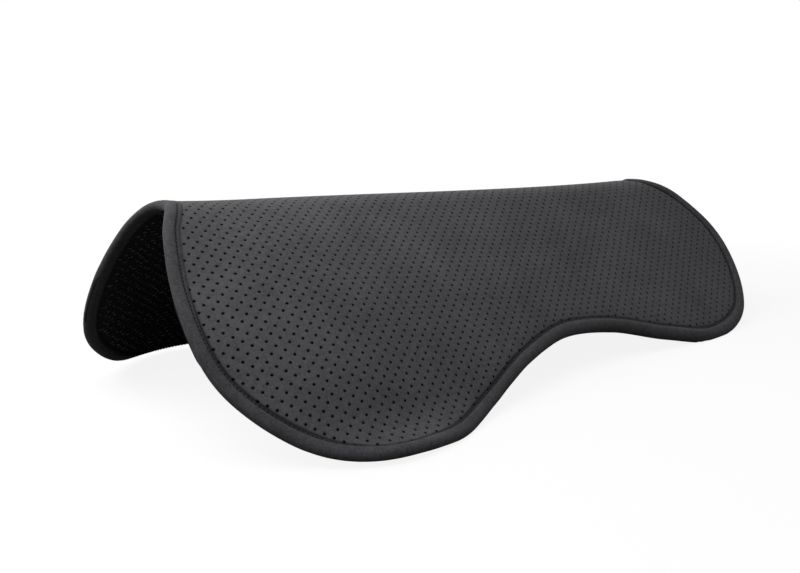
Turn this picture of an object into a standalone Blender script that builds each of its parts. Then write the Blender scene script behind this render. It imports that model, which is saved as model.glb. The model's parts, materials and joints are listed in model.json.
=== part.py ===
"""Non-slip saddle pad for the space between a horse's back and the saddle.

The pad is one layered sheet with a cut outline, draped as a saddle of its own: a rounded crown along
the spine, and a flap down each side. From the top it holds a perforated cover, a foam core and a grip
lining. A folded binding wraps the edge, held by a row of lock stitch: a needle thread above and a
bobbin thread below. The sheet folds along its spine, so each layer is a left and a right piece that
meet on the fold line.

Frame: +Z up, Y along the spine with the withers end at -Y, X across. The horse's left is +X. The pad
stands on the toes of its four lobes at Z = 0, with the middle of its box on the Z axis.
Flat pattern: s runs along the spine from the front, t runs from the spine down the flap.
"""
import math

import bmesh
import bpy
import numpy as np
from mathutils import Euler, Matrix, Vector
from mathutils.geometry import tessellate_polygon

# Cut size on the flat pattern: along the spine, and from the spine to the deepest toe
PAD_LENGTH = 0.570
FLAP_DEPTH = 0.242

# Cut outline of one half as shares of that size (s, t): from the withers round to the rear notch
OUTLINE = (
    (0.044, 0.000),
    (0.016, 0.174),
    (-0.004, 0.405),
    (0.005, 0.674),
    (0.065, 0.880),
    (0.144, 1.000),
    (0.235, 0.992),
    (0.332, 0.888),
    (0.426, 0.769),
    (0.525, 0.690),
    (0.616, 0.694),
    (0.718, 0.752),
    (0.825, 0.789),
    (0.926, 0.707),
    (0.982, 0.517),
    (0.996, 0.331),
    (0.968, 0.149),
    (0.920, 0.000),
)
FRONT_CORNER = 4
REAR_CORNER = 13

# Drape: slope below level in degrees, at five stations given as shares of the length
DRAPE_AT = (0.000, 0.123, 0.316, 0.596, 0.982)
CROWN_SLOPE = (45.5, 29.5, 31.5, 40.0, 45.0)
SKIRT_SLOPE = (50.0, 58.0, 56.0, 49.0, 49.0)
CROWN_HALF_WIDTH = 0.031
SKIRT_DEPTH = 0.202
TOE_FLARE_PER_METRE = 62.0 / 0.040

# Spine line: it falls from the withers to the loin, between two shares of the length, and its front
# end curls up a little over the withers
SPINE_FALL = 0.0158
SPINE_FALL_START = -0.075
SPINE_FALL_END = 0.893
WITHERS_RISE = 0.0043
WITHERS_RISE_LENGTH = 0.098

# Layers, from the top skin downwards
COVER_THICKNESS = 0.0015
CORE_THICKNESS = 0.0040
LINING_THICKNESS = 0.0010
PLY_GAP = 0.0003

# The same layers where the seam of the binding draws them in
SEAM_SINK = 0.0013
SEAM_COVER_THICKNESS = 0.0013
SEAM_CORE_THICKNESS = 0.0017
SEAM_LINING_THICKNESS = 0.0009

# The same layers at their cut edge, inside the fold of the tape
EDGE_SINK = 0.0013
EDGE_COVER_THICKNESS = 0.0012
EDGE_CORE_THICKNESS = 0.0012
EDGE_LINING_THICKNESS = 0.0009

# Binding: a tape folded round the edge
BINDING_WIDTH = 0.0102
TAPE_THICKNESS = 0.0013
TAPE_FOLD_SPACE = 0.0005
BINDING_ROUNDING = 0.0032
BINDING_NOSE_DEG = (60.0, 25.0, -25.0, -60.0)

# Lock stitch that holds the binding
STITCH_FROM_TAPE_EDGE = 0.0015
STITCH_GROOVE_DEPTH = 0.0006
STITCH_GROOVE_WIDTH = 0.0022
THREAD_DIAMETER = 0.0006
THREAD_CLEARANCE = 0.0002

# Fold along the spine, with the halves cut back so that they clear each other over its range
FOLD_CLOSE_DEG = 70.0
FOLD_OPEN_DEG = 70.0
FOLD_EASE_DEG = 3.0
FOLD_GAP = 0.0003
FOLD_AXIS_DEPTH = 0.0005

# Flats under the toes, where the pad stands
REST_FLAT_DEPTH = 0.0005

# Mesh counts
SIDE_STATIONS = 10
TOE_STATIONS = 30
FIRST_ROW = 0.0090
ROW_SPREAD = 1.3
LENGTH_PER_TURN = 0.150
OUTLINE_STEPS = 24
PROFILE_STEPS = 60
NORMAL_STEP = 0.0005
LEVEL_ROUNDS = 4
CUT_BACK_ROUNDS = 8
SHARP_EDGE_DEG = 40.0

# Colours (linear) and finish
COVER_COLOUR = (0.062, 0.060, 0.065)
CORE_COLOUR = (0.020, 0.020, 0.022)
LINING_COLOUR = (0.008, 0.008, 0.009)
BINDING_COLOUR = (0.046, 0.045, 0.049)
THREAD_COLOUR = (0.012, 0.012, 0.013)


def eased(at, values, x):
    """Smooth curve through the values, with the slope at each taken from its neighbours."""
    at = np.asarray(at)
    values = np.asarray(values)
    slope = np.gradient(values, at)
    x = np.clip(x, at[0], at[-1])
    i = np.clip(np.searchsorted(at, x, side="right") - 1, 0, len(at) - 2)
    width = at[i + 1] - at[i]
    u = (x - at[i]) / width
    start = (1 + 2 * u) * (1 - u) ** 2 * values[i] + u * (1 - u) ** 2 * width * slope[i]
    end = u * u * (3 - 2 * u) * values[i + 1] - u * u * (1 - u) * width * slope[i + 1]
    return start + end


def smooth_step(u):
    u = np.clip(u, 0.0, 1.0)
    return u * u * (3 - 2 * u)


def drape_slope(s, t):
    """Slope of the skin below level, in radians, at depth t down the flap."""
    crown = eased(DRAPE_AT, CROWN_SLOPE, s / PAD_LENGTH)
    skirt = eased(DRAPE_AT, SKIRT_SLOPE, s / PAD_LENGTH)
    down = np.clip((t - CROWN_HALF_WIDTH) / (SKIRT_DEPTH - CROWN_HALF_WIDTH), 0.0, 1.0)
    flare = TOE_FLARE_PER_METRE * np.maximum(t - SKIRT_DEPTH, 0.0)
    return np.radians(crown * smooth_step(t / CROWN_HALF_WIDTH) + (skirt - crown) * down - flare)


def spine_height(s):
    fall = (s / PAD_LENGTH - SPINE_FALL_START) / (SPINE_FALL_END - SPINE_FALL_START)
    curl = max(1.0 - s / WITHERS_RISE_LENGTH, 0.0)
    return SPINE_FALL * (0.5 - smooth_step(fall)) + WITHERS_RISE * curl ** 2


def skin(s, t):
    """Point of the top skin, for a point of the flat pattern, before the pad is set level."""
    steps = np.linspace(0.0, 1.0, PROFILE_STEPS + 1)
    slope = drape_slope(s, t * steps)
    weight = np.full(len(steps), 1.0)
    weight[[0, -1]] = 0.5
    across = t * float(np.cos(slope) @ weight) / PROFILE_STEPS
    down = t * float(np.sin(slope) @ weight) / PROFILE_STEPS
    return Vector((across, s, float(spine_height(s)) - down))


def skin_normal(s, t):
    t = max(t, 0.0)
    along = skin(s + NORMAL_STEP, t) - skin(s - NORMAL_STEP, t)
    down = skin(s, t + NORMAL_STEP) - skin(s, max(t - NORMAL_STEP, 0.0))
    return down.cross(along).normalized()


def outline_curve():
    """Smooth curve through the outline's points, which meets its mirror image smoothly at the spine."""
    points = [Vector((s * PAD_LENGTH, t * FLAP_DEPTH)) for s, t in OUTLINE]
    before = Vector((points[1].x, -points[1].y))
    after = Vector((points[-2].x, -points[-2].y))
    chain = [before] + points + [after]
    curve = []
    for i in range(1, len(chain) - 2):
        a, b, c, d = chain[i - 1:i + 3]
        ab, bc, cd = (b - a).length, (c - b).length, (d - c).length
        leave = ((b - a) / ab - (c - a) / (ab + bc) + (c - b) / bc) * bc
        arrive = ((c - b) / bc - (d - b) / (bc + cd) + (d - c) / cd) * bc
        for k in range(OUTLINE_STEPS):
            u = k / OUTLINE_STEPS
            point = ((1 + 2 * u) * (1 - u) ** 2 * b + u * (1 - u) ** 2 * leave
                     + u * u * (3 - 2 * u) * c - u * u * (1 - u) * arrive)
            curve.append(point)
    curve.append(points[-1])
    return curve


def spread(curve, shares):
    """Points of the curve at the given shares of its length."""
    lengths = [0.0]
    for a, b in zip(curve, curve[1:]):
        lengths.append(lengths[-1] + (b - a).length)
    s = np.interp(np.asarray(shares) * lengths[-1], lengths, [p.x for p in curve])
    t = np.interp(np.asarray(shares) * lengths[-1], lengths, [p.y for p in curve])
    return [Vector(p) for p in zip(s.tolist(), t.tolist())]


def row_shares(curve):
    """Shares of a front or rear edge at which the rows meet it, closer together on the crown."""
    first = FIRST_ROW / sum((b - a).length for a, b in zip(curve, curve[1:]))
    steps = np.linspace(0.0, 1.0, SIDE_STATIONS)
    return [0.0] + (first + (1.0 - first) * steps ** ROW_SPREAD).tolist()


def toe_shares(curve):
    """Shares of the toe edge at which its stations lie, closer together where the skin turns."""
    length = [0.0]
    effort = [0.0]
    normals = [skin_normal(p.x, p.y) for p in curve]
    for a, b, m, n in zip(curve, curve[1:], normals, normals[1:]):
        length.append(length[-1] + (b - a).length)
        effort.append(effort[-1] + (b - a).length + LENGTH_PER_TURN * m.angle(n))
    even = np.linspace(0.0, effort[-1], TOE_STATIONS + 1)
    return (np.interp(even, effort, length) / length[-1]).tolist()


class EdgeStation:
    """A place on the outline, with the directions in which the edge is built there."""

    def __init__(self, edge, inward):
        inner = edge + inward * BINDING_WIDTH
        self.inner_pattern = inner
        self.edge = skin(edge.x, edge.y)
        self.inward = (skin(inner.x, max(inner.y, 0.0)) - self.edge).normalized()
        normal = skin_normal(inner.x, inner.y)
        self.normal = (normal - self.inward * normal.dot(self.inward)).normalized()

    def at(self, inset, height):
        return self.edge + self.inward * inset + self.normal * height


def edge_stations():
    curve = outline_curve()
    front = curve[:FRONT_CORNER * OUTLINE_STEPS + 1]
    toe = curve[FRONT_CORNER * OUTLINE_STEPS:REAR_CORNER * OUTLINE_STEPS + 1]
    rear = curve[REAR_CORNER * OUTLINE_STEPS:]
    rear_shares = [1.0 - share for share in reversed(row_shares(rear))]
    places = spread(front, row_shares(front)) + spread(toe, toe_shares(toe))[1:-1] + spread(rear, rear_shares)
    stations = []
    for i, place in enumerate(places):
        if i == 0:
            inward = Vector((1.0, 0.0))
        elif i == len(places) - 1:
            inward = Vector((-1.0, 0.0))
        else:
            run = (places[i + 1] - places[i - 1]).normalized()
            inward = Vector((run.y, -run.x))
        stations.append(EdgeStation(place, inward))
    return stations


def patch_pattern(stations):
    """Flat-pattern points of the panel inside the edge band, as rows from the spine to the toe."""
    rows = SIDE_STATIONS
    columns = TOE_STATIONS
    inner = [station.inner_pattern for station in stations]
    front = inner[:rows + 1]
    toe = inner[rows:rows + columns + 1]
    rear = inner[rows + columns:][::-1]
    toe_run = [0.0]
    for a, b in zip(toe, toe[1:]):
        toe_run.append(toe_run[-1] + (b - a).length)
    grid = []
    for i in range(rows + 1):
        v = (front[i].y / front[-1].y + rear[i].y / rear[-1].y) / 2
        row = []
        for j in range(columns + 1):
            u = toe_run[j] / toe_run[-1]
            spine = front[0].lerp(rear[0], u)
            across = spine * (1 - v) + toe[j] * v
            along = front[i] * (1 - u) + rear[i] * u
            corners = (front[0] * (1 - u) + rear[0] * u) * (1 - v) + (toe[0] * (1 - u) + toe[-1] * u) * v
            row.append(across + along - corners)
        grid.append(row)
    return grid


class Level:
    """Pitch and shift that set the pad on its toes, centred on the Z axis."""

    def __init__(self, points):
        self.pitch = 0.0
        self.shift = Vector((0.0, 0.0, 0.0))
        middle = sum(p.y for p in points) / len(points)
        for _ in range(LEVEL_ROUNDS):
            turned = [self.place(p) for p in points]
            front = min((q for p, q in zip(points, turned) if p.y < middle), key=lambda q: q.z)
            rear = min((q for p, q in zip(points, turned) if p.y >= middle), key=lambda q: q.z)
            self.pitch -= math.atan2(rear.z - front.z, rear.y - front.y)
        turned = [self.place(p) for p in points]
        ends = [q.y for q in turned]
        low = min(q.z for q in turned)
        self.shift = Vector((0.0, -(min(ends) + max(ends)) / 2, -low - REST_FLAT_DEPTH))

    def place(self, point):
        return Matrix.Rotation(self.pitch, 3, "X") @ point + self.shift


class Fold:
    """The fold's axis, and how far each half is cut back from the middle to clear the other."""

    def __init__(self, stations):
        drop = Vector((0.0, 0.0, FOLD_AXIS_DEPTH))
        self.front = stations[0].edge - drop
        self.rear = stations[-1].edge - drop

    def height_above(self, point):
        share = (point.y - self.front.y) / (self.rear.y - self.front.y)
        return point.z - (self.front.z + share * (self.rear.z - self.front.z))

    def cut_back(self, middle, following, reach=0.0):
        """Place between a point on the middle plane and the following one where the half begins.

        The piece reaches that far above and below the points.
        """
        closing = math.tan(math.radians(FOLD_CLOSE_DEG / 2 + FOLD_EASE_DEG))
        opening = math.tan(math.radians(FOLD_OPEN_DEG / 2 + FOLD_EASE_DEG))
        share = 0.0
        for _ in range(CUT_BACK_ROUNDS):
            height = self.height_above(middle.lerp(following, share))
            relief = max((reach - height) * closing, (reach + height) * opening)
            share = (FOLD_GAP / 2 + relief) / following.x
        return middle.lerp(following, share)

    def cut_ends(self, points, reach=0.0):
        """The same for both ends of a run of points that starts and ends on the middle plane."""
        first = self.cut_back(points[0], points[1], reach)
        last = self.cut_back(points[-1], points[-2], reach)
        return [first] + points[1:-1] + [last]


def layer_table():
    """Top and bottom of each layer from the top skin: on the panel, at the seam and at the cut edge."""
    table = {}
    panel_top = 0.0
    seam_top = -SEAM_SINK
    edge_top = -EDGE_SINK
    plies = (
        ("cover", COVER_THICKNESS, SEAM_COVER_THICKNESS, EDGE_COVER_THICKNESS),
        ("core", CORE_THICKNESS, SEAM_CORE_THICKNESS, EDGE_CORE_THICKNESS),
        ("grip_lining", LINING_THICKNESS, SEAM_LINING_THICKNESS, EDGE_LINING_THICKNESS),
    )
    for name, panel, seam, edge in plies:
        top = (panel_top, seam_top, edge_top)
        bottom = (panel_top - panel, seam_top - seam, edge_top - edge)
        table[name] = (top, bottom)
        panel_top, seam_top, edge_top = (height - PLY_GAP for height in bottom)
    return table


def new_mesh_object(name, bm, side):
    if side < 0:
        bmesh.ops.scale(bm, vec=(-1.0, 1.0, 1.0), verts=bm.verts)
    bmesh.ops.recalc_face_normals(bm, faces=bm.faces)
    mesh = bpy.data.meshes.new(name)
    bm.to_mesh(mesh)
    bm.free()
    obj = bpy.data.objects.new(name, mesh)
    bpy.context.scene.collection.objects.link(obj)
    mesh.shade_smooth()
    mesh.set_sharp_from_angle(angle=math.radians(SHARP_EDGE_DEG))
    return obj


def sheet_skin(bm, stations, pattern, fold, level, heights):
    """One skin of a layer: rows from the spine to the toe, with the edge band round the outside."""
    panel_height, seam_height, edge_height = heights
    last_row = len(pattern) - 1
    last_column = len(pattern[0]) - 1
    rows = []
    for i, row in enumerate(pattern):
        points = []
        for j, (s, t) in enumerate(row):
            on_seam = i == last_row or j in (0, last_column)
            points.append(skin(s, t) + skin_normal(s, t) * (seam_height if on_seam else panel_height))
        rows.append(points)
    rows[0] = [fold.cut_back(middle, following) for middle, following in zip(rows[0], rows[1])]
    rim = fold.cut_ends([station.at(tape_wall(), edge_height) for station in stations])
    grid = [[bm.verts.new(level.place(point)) for point in row] for row in rows]
    return grid, [bm.verts.new(level.place(point)) for point in rim]


def band_loop(grid):
    """Outer boundary of the panel grid, from the front end of the spine to its rear end."""
    rows = len(grid) - 1
    front = [grid[i][0] for i in range(rows + 1)]
    toe = grid[rows][1:-1]
    rear = [grid[i][-1] for i in range(rows, -1, -1)]
    return front + toe + rear


def split_quad(bm, a, b, c, d):
    """Two triangles, always on the same diagonal, so that stacked layers stay parallel."""
    bm.faces.new((a, b, c))
    bm.faces.new((a, c, d))


def build_layer(name, side, stations, pattern, fold, level, top_and_bottom):
    bm = bmesh.new()
    skins = [sheet_skin(bm, stations, pattern, fold, level, heights) for heights in top_and_bottom]
    for grid, rim in skins:
        for upper, lower in zip(grid, grid[1:]):
            for j in range(len(upper) - 1):
                split_quad(bm, upper[j], upper[j + 1], lower[j + 1], lower[j])
        loop = band_loop(grid)
        for k in range(len(loop) - 1):
            split_quad(bm, loop[k], loop[k + 1], rim[k + 1], rim[k])
    (top, top_rim), (bottom, bottom_rim) = skins
    top_edge = [top_rim[0]] + top[0] + [top_rim[-1]]
    bottom_edge = [bottom_rim[0]] + bottom[0] + [bottom_rim[-1]]
    for a, b in ((top_rim, bottom_rim), (top_edge, bottom_edge)):
        for k in range(len(a) - 1):
            split_quad(bm, a[k], a[k + 1], b[k + 1], b[k])
    return new_mesh_object(name, bm, side)


def tape_wall():
    """Distance in from the edge at which the layers end, inside the fold of the tape."""
    return TAPE_THICKNESS + TAPE_FOLD_SPACE


def tape_face_height(inset, above):
    """Height of the sandwich's face under the tape, at a distance in from the edge."""
    top, bottom = layer_table()["cover" if above else "grip_lining"]
    _, seam_height, edge_height = top if above else bottom
    share = (inset - tape_wall()) / (BINDING_WIDTH - tape_wall())
    return edge_height + (seam_height - edge_height) * share


def stitch_inset():
    return BINDING_WIDTH - STITCH_FROM_TAPE_EDGE


def binding_section():
    """Section of the folded tape, as (inset, height) pairs: round the outside, then back inside."""
    half_groove = STITCH_GROOVE_WIDTH / 2
    stitch = stitch_inset()
    inner_wall = TAPE_THICKNESS

    def outer(inset, above, sunk=0.0):
        sign = 1 if above else -1
        lift = TAPE_FOLD_SPACE + TAPE_THICKNESS - sunk
        return inset, tape_face_height(inset, above) + sign * lift

    def inner(inset, above):
        sign = 1 if above else -1
        return inset, tape_face_height(inset, above) + sign * TAPE_FOLD_SPACE

    upper = [
        outer(BINDING_WIDTH, True),
        outer(stitch + half_groove, True),
        outer(stitch, True, STITCH_GROOVE_DEPTH),
        outer(stitch - half_groove, True),
        outer(BINDING_ROUNDING, True),
    ]
    lower = []
    for inset, _ in reversed(upper):
        lower.append(outer(inset, False, STITCH_GROOVE_DEPTH if inset == stitch else 0.0))
    top = upper[-1][1]
    bottom = lower[0][1]
    middle = (top + bottom) / 2
    half = (top - bottom) / 2
    nose = []
    for angle in BINDING_NOSE_DEG:
        a = math.radians(angle)
        nose.append((BINDING_ROUNDING * (1 - math.cos(a)), middle + half * math.sin(a)))
    inside = [
        inner(BINDING_WIDTH, False),
        inner(inner_wall, False),
        inner(inner_wall, True),
        inner(BINDING_WIDTH, True),
    ]
    return upper + nose + lower + inside


def build_binding(name, side, stations, fold, level):
    section = binding_section()
    bm = bmesh.new()
    strands = [fold.cut_ends([station.at(*corner) for station in stations]) for corner in section]
    rings = [[bm.verts.new(level.place(point)) for point in ring] for ring in zip(*strands)]
    for ring, following in zip(rings, rings[1:]):
        for i in range(len(ring)):
            j = (i + 1) % len(ring)
            if section[i] > section[j]:
                split_quad(bm, ring[i], ring[j], following[j], following[i])
            else:
                split_quad(bm, ring[j], ring[i], following[i], following[j])
    for corners in tessellate_polygon([[Vector((*pair, 0.0)) for pair in section]]):
        for ring in (rings[0], rings[-1]):
            bm.faces.new([ring[i] for i in corners])
    return new_mesh_object(name, bm, side)


def build_thread(name, side, stations, fold, level, above):
    """One unbroken thread, lying in the stitch groove of the tape."""
    sign = 1 if above else -1
    stitch = stitch_inset()
    groove = tape_face_height(stitch, above) + sign * (TAPE_FOLD_SPACE + TAPE_THICKNESS - STITCH_GROOVE_DEPTH)
    height = groove + sign * (THREAD_CLEARANCE + THREAD_DIAMETER / 2)
    curve = bpy.data.curves.new(name, "CURVE")
    curve.dimensions = "3D"
    curve.bevel_depth = THREAD_DIAMETER / 2
    curve.bevel_resolution = 1
    curve.use_fill_caps = True
    run = fold.cut_ends([station.at(stitch, height) for station in stations], THREAD_DIAMETER / 2)
    spline = curve.splines.new("POLY")
    spline.points.add(len(run) - 1)
    for k, point in enumerate(run):
        x, y, z = level.place(point)
        spline.points[k].co = (side * x, y, z, 1.0)
    obj = bpy.data.objects.new(name, curve)
    bpy.context.scene.collection.objects.link(obj)
    return obj


def new_material(name, colour, roughness):
    material = bpy.data.materials.new(name)
    material.use_nodes = True
    shader = material.node_tree.nodes["Principled BSDF"]
    shader.inputs["Base Color"].default_value = (*colour, 1.0)
    shader.inputs["Roughness"].default_value = roughness
    shader.inputs["Metallic"].default_value = 0.0
    return material


def floor_cutter():
    """Block below the floor, which trims the toes flat where the pad stands."""
    size = 2 * PAD_LENGTH
    bpy.ops.mesh.primitive_cube_add(size=size, location=(0.0, 0.0, -size / 2))
    cutter = bpy.context.object
    cutter.name = "floor_cutter"
    cutter.hide_render = True
    cutter.display_type = "WIRE"
    return cutter


def trim_on_floor(obj, cutter):
    trim = obj.modifiers.new("rest_flats", "BOOLEAN")
    trim.operation = "DIFFERENCE"
    trim.solver = "EXACT"
    trim.object = cutter


def fold_empty(fold, level):
    """Empty on the fold's axis, with its own Y along it, which carries the right half."""
    front = level.place(fold.front)
    rear = level.place(fold.rear)
    run = rear - front
    empty = bpy.data.objects.new("spine_fold", None)
    empty.location = (front + rear) / 2
    empty.rotation_euler = Euler((math.atan2(run.z, run.y), 0.0, 0.0))
    bpy.context.scene.collection.objects.link(empty)
    bpy.context.view_layer.update()
    return empty


def carry(obj, empty):
    """Parents a piece to the empty, with its origin on the fold's axis and its place unchanged."""
    obj.data.transform(empty.matrix_world.inverted())
    obj.parent = empty


def clear_scene():
    for obj in list(bpy.data.objects):
        bpy.data.objects.remove(obj, do_unlink=True)


def build_pad():
    clear_scene()
    stations = edge_stations()
    pattern = patch_pattern(stations)
    fold = Fold(stations)
    level = Level([station.at(*p) for station in stations for p in binding_section()])
    layers = layer_table()
    cutter = floor_cutter()
    empty = fold_empty(fold, level)
    colours = {
        "cover": (COVER_COLOUR, 0.80),
        "core": (CORE_COLOUR, 0.95),
        "grip_lining": (LINING_COLOUR, 0.70),
        "binding": (BINDING_COLOUR, 0.75),
        "needle_thread": (THREAD_COLOUR, 0.60),
        "bobbin_thread": (THREAD_COLOUR, 0.60),
    }
    for side, prefix in ((1, "left"), (-1, "right")):
        pieces = {}
        for layer, heights in layers.items():
            pieces[layer] = build_layer(f"{prefix}_{layer}", side, stations, pattern, fold, level, heights)
        pieces["binding"] = build_binding(f"{prefix}_binding", side, stations, fold, level)
        trim_on_floor(pieces["binding"], cutter)
        for thread, above in (("needle_thread", True), ("bobbin_thread", False)):
            pieces[thread] = build_thread(f"{prefix}_{thread}", side, stations, fold, level, above)
        for kind, obj in pieces.items():
            colour, roughness = colours[kind]
            obj.data.materials.append(new_material(f"{prefix}_{kind}", colour, roughness))
            if side < 0:
                carry(obj, empty)


build_pad()
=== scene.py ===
"""Non-slip saddle pad: how it looks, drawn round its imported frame.

The frame holds the two halves that fold along the spine. Here each layer is drawn whole, as it is sewn:
the perforated cover, the foam core, the grip lining, the folded tape round the edge and the two threads
of its lock stitch. All of them follow one draped skin. On the left flap it is the skin of the frame's
solids, and on the right flap it hangs a little differently.

Frame: +Z up, Y along the spine with the withers end at -Y, the horse's left at +X.
Flat pattern: s runs along the spine from the withers end. t runs from the spine down the left flap, and
is negative on the right flap. An inset is a distance in from the cut edge, and a height is measured from
the top skin, outwards.
"""
import json
import math

import bmesh
import bpy
import numpy as np
from bpy.props import FloatProperty, FloatVectorProperty, IntProperty, PointerProperty
from mathutils import Matrix, Vector, geometry


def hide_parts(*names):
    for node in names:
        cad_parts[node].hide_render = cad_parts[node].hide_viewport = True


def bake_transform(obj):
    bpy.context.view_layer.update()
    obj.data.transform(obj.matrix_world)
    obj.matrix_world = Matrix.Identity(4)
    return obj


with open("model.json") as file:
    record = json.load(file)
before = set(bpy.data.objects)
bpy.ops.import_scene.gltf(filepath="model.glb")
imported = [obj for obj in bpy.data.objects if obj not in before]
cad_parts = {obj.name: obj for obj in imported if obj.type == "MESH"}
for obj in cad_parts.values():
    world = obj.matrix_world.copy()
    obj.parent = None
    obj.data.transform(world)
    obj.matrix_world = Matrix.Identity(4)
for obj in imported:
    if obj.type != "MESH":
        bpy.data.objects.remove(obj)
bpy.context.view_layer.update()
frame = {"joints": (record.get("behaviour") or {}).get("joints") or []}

bl_info = {
    "name": "Non-slip Saddle Pad",
    "version": (1, 0, 0),
    "blender": (4, 5, 0),
    "location": "View3D > Sidebar > Saddle Pad",
    "description": "Perforated cover, foam core, grip lining and stitched edge tape of a saddle pad",
    "category": "Add Mesh",
}

# Cut size, and the outline on the flat pattern as shares of the length and the flap's depth
PAD_LENGTH = 0.570
FLAP_DEPTH = 0.242
OUTLINE = (
    (0.044, 0.000), (0.016, 0.174), (-0.004, 0.405), (0.005, 0.674), (0.065, 0.880), (0.144, 1.000),
    (0.235, 0.992), (0.332, 0.888), (0.426, 0.769), (0.525, 0.690), (0.616, 0.694), (0.718, 0.752),
    (0.825, 0.789), (0.926, 0.707), (0.982, 0.517), (0.996, 0.331), (0.968, 0.149), (0.920, 0.000),
)

# Drape: slope below level in degrees, at five stations given as shares of the length
DRAPE_AT = (0.000, 0.123, 0.316, 0.596, 0.982)
CROWN_SLOPE = (45.5, 29.5, 31.5, 40.0, 45.0)
SKIRT_SLOPE = (50.0, 58.0, 56.0, 49.0, 49.0)
CROWN_HALF_WIDTH = 0.031
SKIRT_DEPTH = 0.202
TOE_FLARE_PER_METRE = 62.0 / 0.040

# How the right flap hangs: what its slopes add to the left flap's, and its own flare
RIGHT_CROWN_CHANGE = (2.1, -1.7, -2.4, 0.2, 0.0)
RIGHT_SKIRT_CHANGE = (2.3, -0.7, -2.6, 0.2, 0.0)
RIGHT_TOE_FLARE_PER_METRE = 48.0 / 0.040

# Spine line, and the depth of the fold's axis below it
SPINE_FALL = 0.0158
SPINE_FALL_START = -0.075
SPINE_FALL_END = 0.893
WITHERS_RISE = 0.0043
WITHERS_RISE_LENGTH = 0.098
FOLD_AXIS_DEPTH = 0.0005

# Heights of each layer's faces: on the panel, at the seam and at the cut edge
COVER_TOP = (0.0, -0.00118, -0.0013)
COVER_BOTTOM = (-0.0015, -0.0026, -0.0025)
CORE_TOP = (-0.0018, -0.0029, -0.0028)
CORE_BOTTOM = (-0.0058, -0.0046, -0.0040)
LINING_TOP = (-0.0061, -0.0049, -0.0043)
LINING_BOTTOM = (-0.0066, -0.0054, -0.0049)

# Edge: where the layers end inside the fold of the tape, the tape's width, and how far the seam is felt
TAPE_WALL = 0.0018
TAPE_WIDTH = 0.0102
SEAM_EASE = 0.0055

# Puckers beside the seam: height, reach, and two waves as (length, start along s, start along t)
PUCKER_HEIGHT = 0.00016
PUCKER_REACH = 0.012
PUCKER_WAVES = ((0.021, 0.0, 0.6), (0.034, 1.7, 2.9))

# Cover: where the grid of holes starts on the flat pattern, and how far in from the edge the holes begin
HOLE_ORIGIN = (0.06391, 0.13679)
HOLE_MARGIN = 0.0092
HOLE_SIDES = 8
HOLE_FIRST_CORNER_DEG = 225.0

# Grip lining: rise and sink of its bars, their corners and crown as shares of a bar, and how a row wavers
BAR_RISE = 0.00045
BAR_SINK = 0.00015
BAR_CORNER = 0.72
BAR_CROWN = (0.86, 0.66)
BAR_WAVE = 0.0006
BAR_WAVE_LENGTH = 0.055
BAR_WAVE_DRIFT = 0.9
BAR_WAVE_TURN_PER_ROW = 0.7

# Section of the folded tape in millimetres, as (inset, height): the flange and stitch groove on top, the
# groove and flange underneath, and the inside. The roll over the nose also says how it swells when full.
TOP_FLANGE = ((10.10, -0.62), (10.00, -0.25), (9.80, -0.20), (9.55, -0.52))
TOP_GROOVE = ((9.25, -0.85), (8.90, -0.60), (8.50, 0.02))
ROLL = np.array((
    (8.00, 0.45, 0.0, 0.0),
    (7.00, 0.70, 0.0, 0.15),
    (5.60, 0.78, 0.0, 0.35),
    (4.20, 0.62, -0.1, 0.45),
    (2.80, 0.15, -0.3, 0.45),
    (1.70, -0.55, -0.6, 0.35),
    (0.95, -1.50, -0.9, 0.2),
    (0.45, -2.70, -1.1, 0.0),
    (0.40, -3.90, -1.1, -0.2),
    (0.65, -5.10, -1.0, -0.5),
    (1.30, -6.10, -0.7, -0.8),
    (2.40, -6.80, -0.4, -0.95),
    (3.60, -7.10, -0.1, -1.0),
    (5.20, -7.20, 0.0, -0.9),
    (6.80, -7.15, 0.0, -0.6),
    (8.00, -6.90, 0.0, -0.2),
))
UNDER_GROOVE = ((8.60, -6.95), (8.95, -6.85), (9.25, -6.75))
UNDER_FLANGE = ((9.50, -6.85), (9.75, -7.00), (10.00, -6.95), (10.10, -6.55), (10.00, -6.35))
INSIDE = ((7.60, -6.22), (4.20, -5.90), (1.60, -5.00), (1.60, -1.50), (4.20, -0.82), (7.60, -0.90),
          (9.25, -1.20), (10.00, -1.08))
TAPE_SECTION = np.vstack((TOP_FLANGE, TOP_GROOVE, ROLL[:, :2], UNDER_GROOVE, UNDER_FLANGE, INSIDE)) / 1000
ROLL_SWELL = ROLL[:, 2:] / 1000
ROLL_START = len(TOP_FLANGE + TOP_GROOVE)
ROLL_POINTS = range(ROLL_START, ROLL_START + len(ROLL))
STITCH_POINTS = (len(TOP_FLANGE), ROLL_START + len(ROLL) + 2)
GROOVE_POINTS = tuple(point + side for point in STITCH_POINTS for side in (-1, 1))
LAP_POINTS = (0, 1, len(TAPE_SECTION) - 1)

# How full the roll is at points of the outline
FULLNESS_AT = (0, 1, 2, 4, 6, 8, 10, 12, 14, 16, 17)
FULLNESS = (-0.2, -0.8, -0.6, 0.3, -0.1, 1.3, 1.9, 2.3, 1.5, 1.2, 0.7)

# How the roll wanders round the edge, in waves as (count, start, share), and its shares up and inwards
ROLL_WANDER = 0.00015
ROLL_WAVES = ((17, 0.4, 1.0), (41, 1.9, 0.6), (73, 0.0, 0.5))
WANDER_UP = 0.6
WANDER_IN = 0.5

# How each stitch pulls the tape in: at its hole, beside it, and on the roll from an inset over a reach
STITCH_PULL = 0.00022
GROOVE_PULL = 0.00012
ROLL_PUCKER = 0.00012
ROLL_PUCKER_START = 0.002
ROLL_PUCKER_REACH = 0.006

# Lap of the tape's two ends at the withers: its extra width, how far down it goes, and its taper
LAP_WIDTH = 0.0019
LAP_REACH = 0.135
LAP_TAPER = 0.070

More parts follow.
